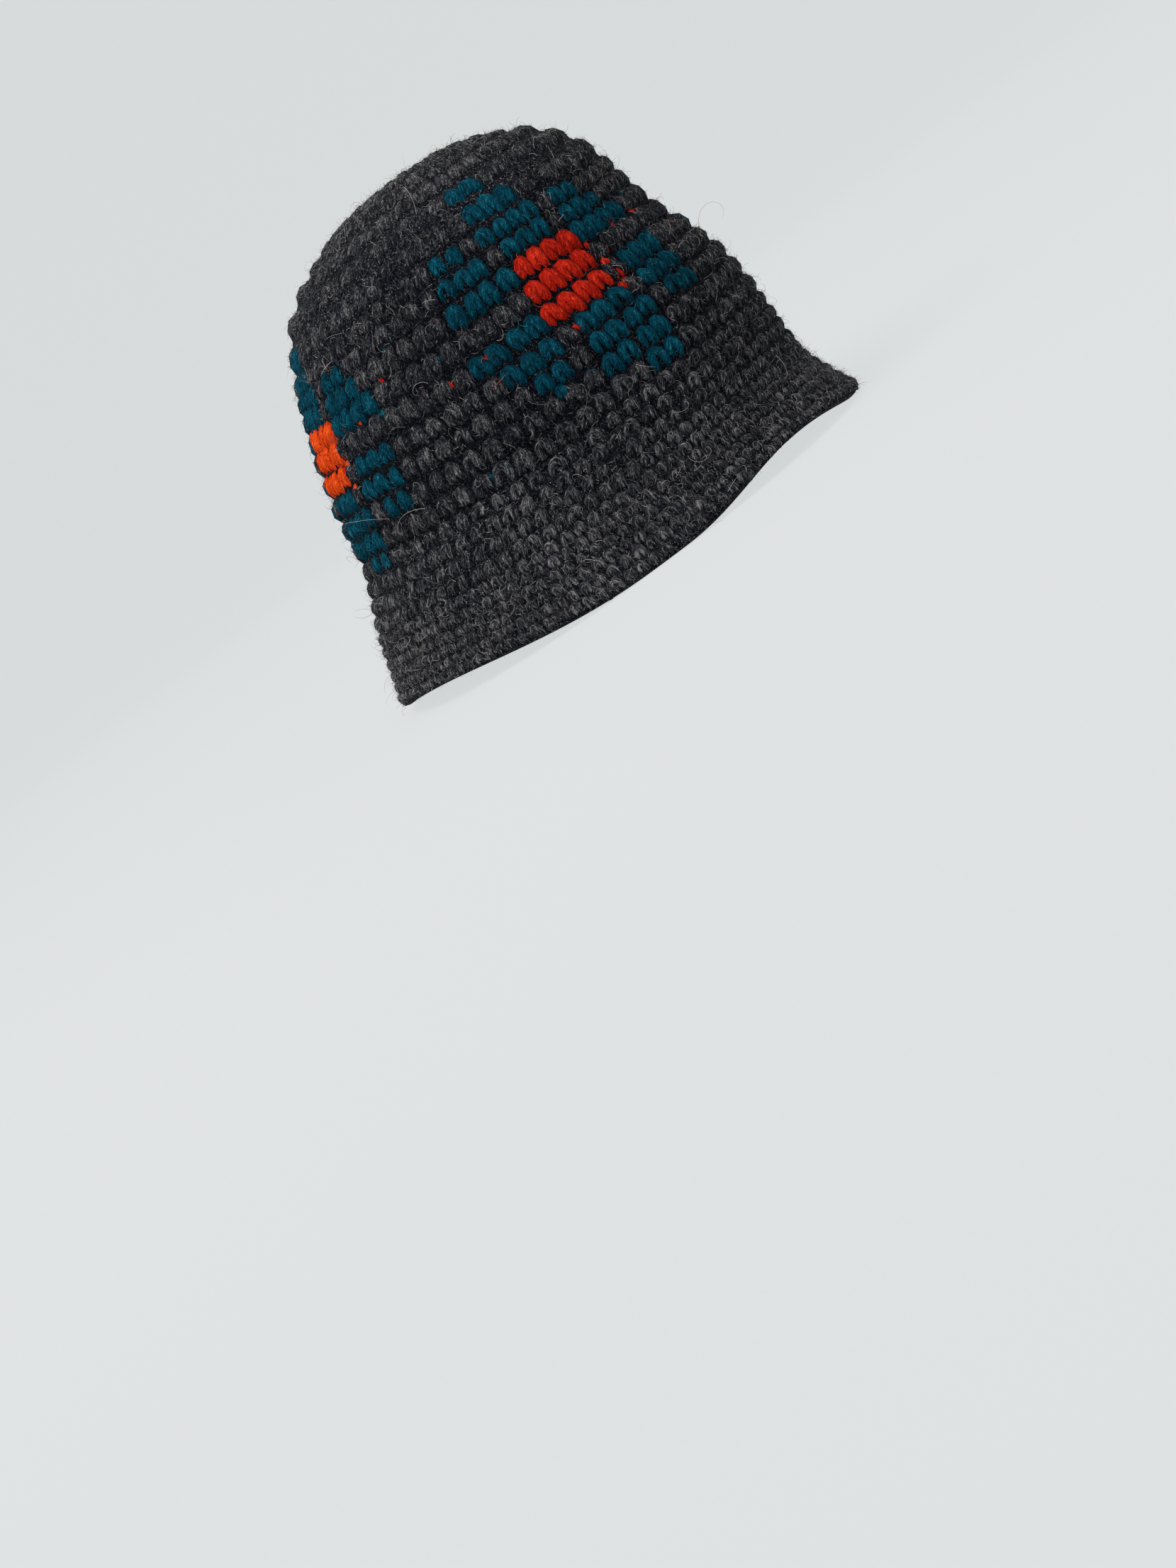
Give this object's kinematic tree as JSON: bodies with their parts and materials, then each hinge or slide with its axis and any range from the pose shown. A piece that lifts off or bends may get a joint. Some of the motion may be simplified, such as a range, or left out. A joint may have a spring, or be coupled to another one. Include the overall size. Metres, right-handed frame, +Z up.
{
  "type": "crochet bucket hat",
  "caption": "Hand crocheted wool bucket hat with a domed crown, ribbed rounds, block flowers and a soft flared brim.",
  "frame": {"origin": "centre of the rim's outline, on the surface that the hat rests on", "axes": "+Z up, -Y toward the front of the hat, -X toward the wearer's right"},
  "size_m": [0.2402, 0.2612, 0.2001],
  "materials": {
    "charcoal_wool": "matte heathered charcoal wool, hairy",
    "teal_wool": "matte teal wool, hairy",
    "red_wool": "matte red-orange wool, hairy"
  },
  "bodies": {
    "root": {"crown_top": "charcoal_wool", "crown_side": "charcoal_wool", "brim": "charcoal_wool"}
  },
  "joints": []
}
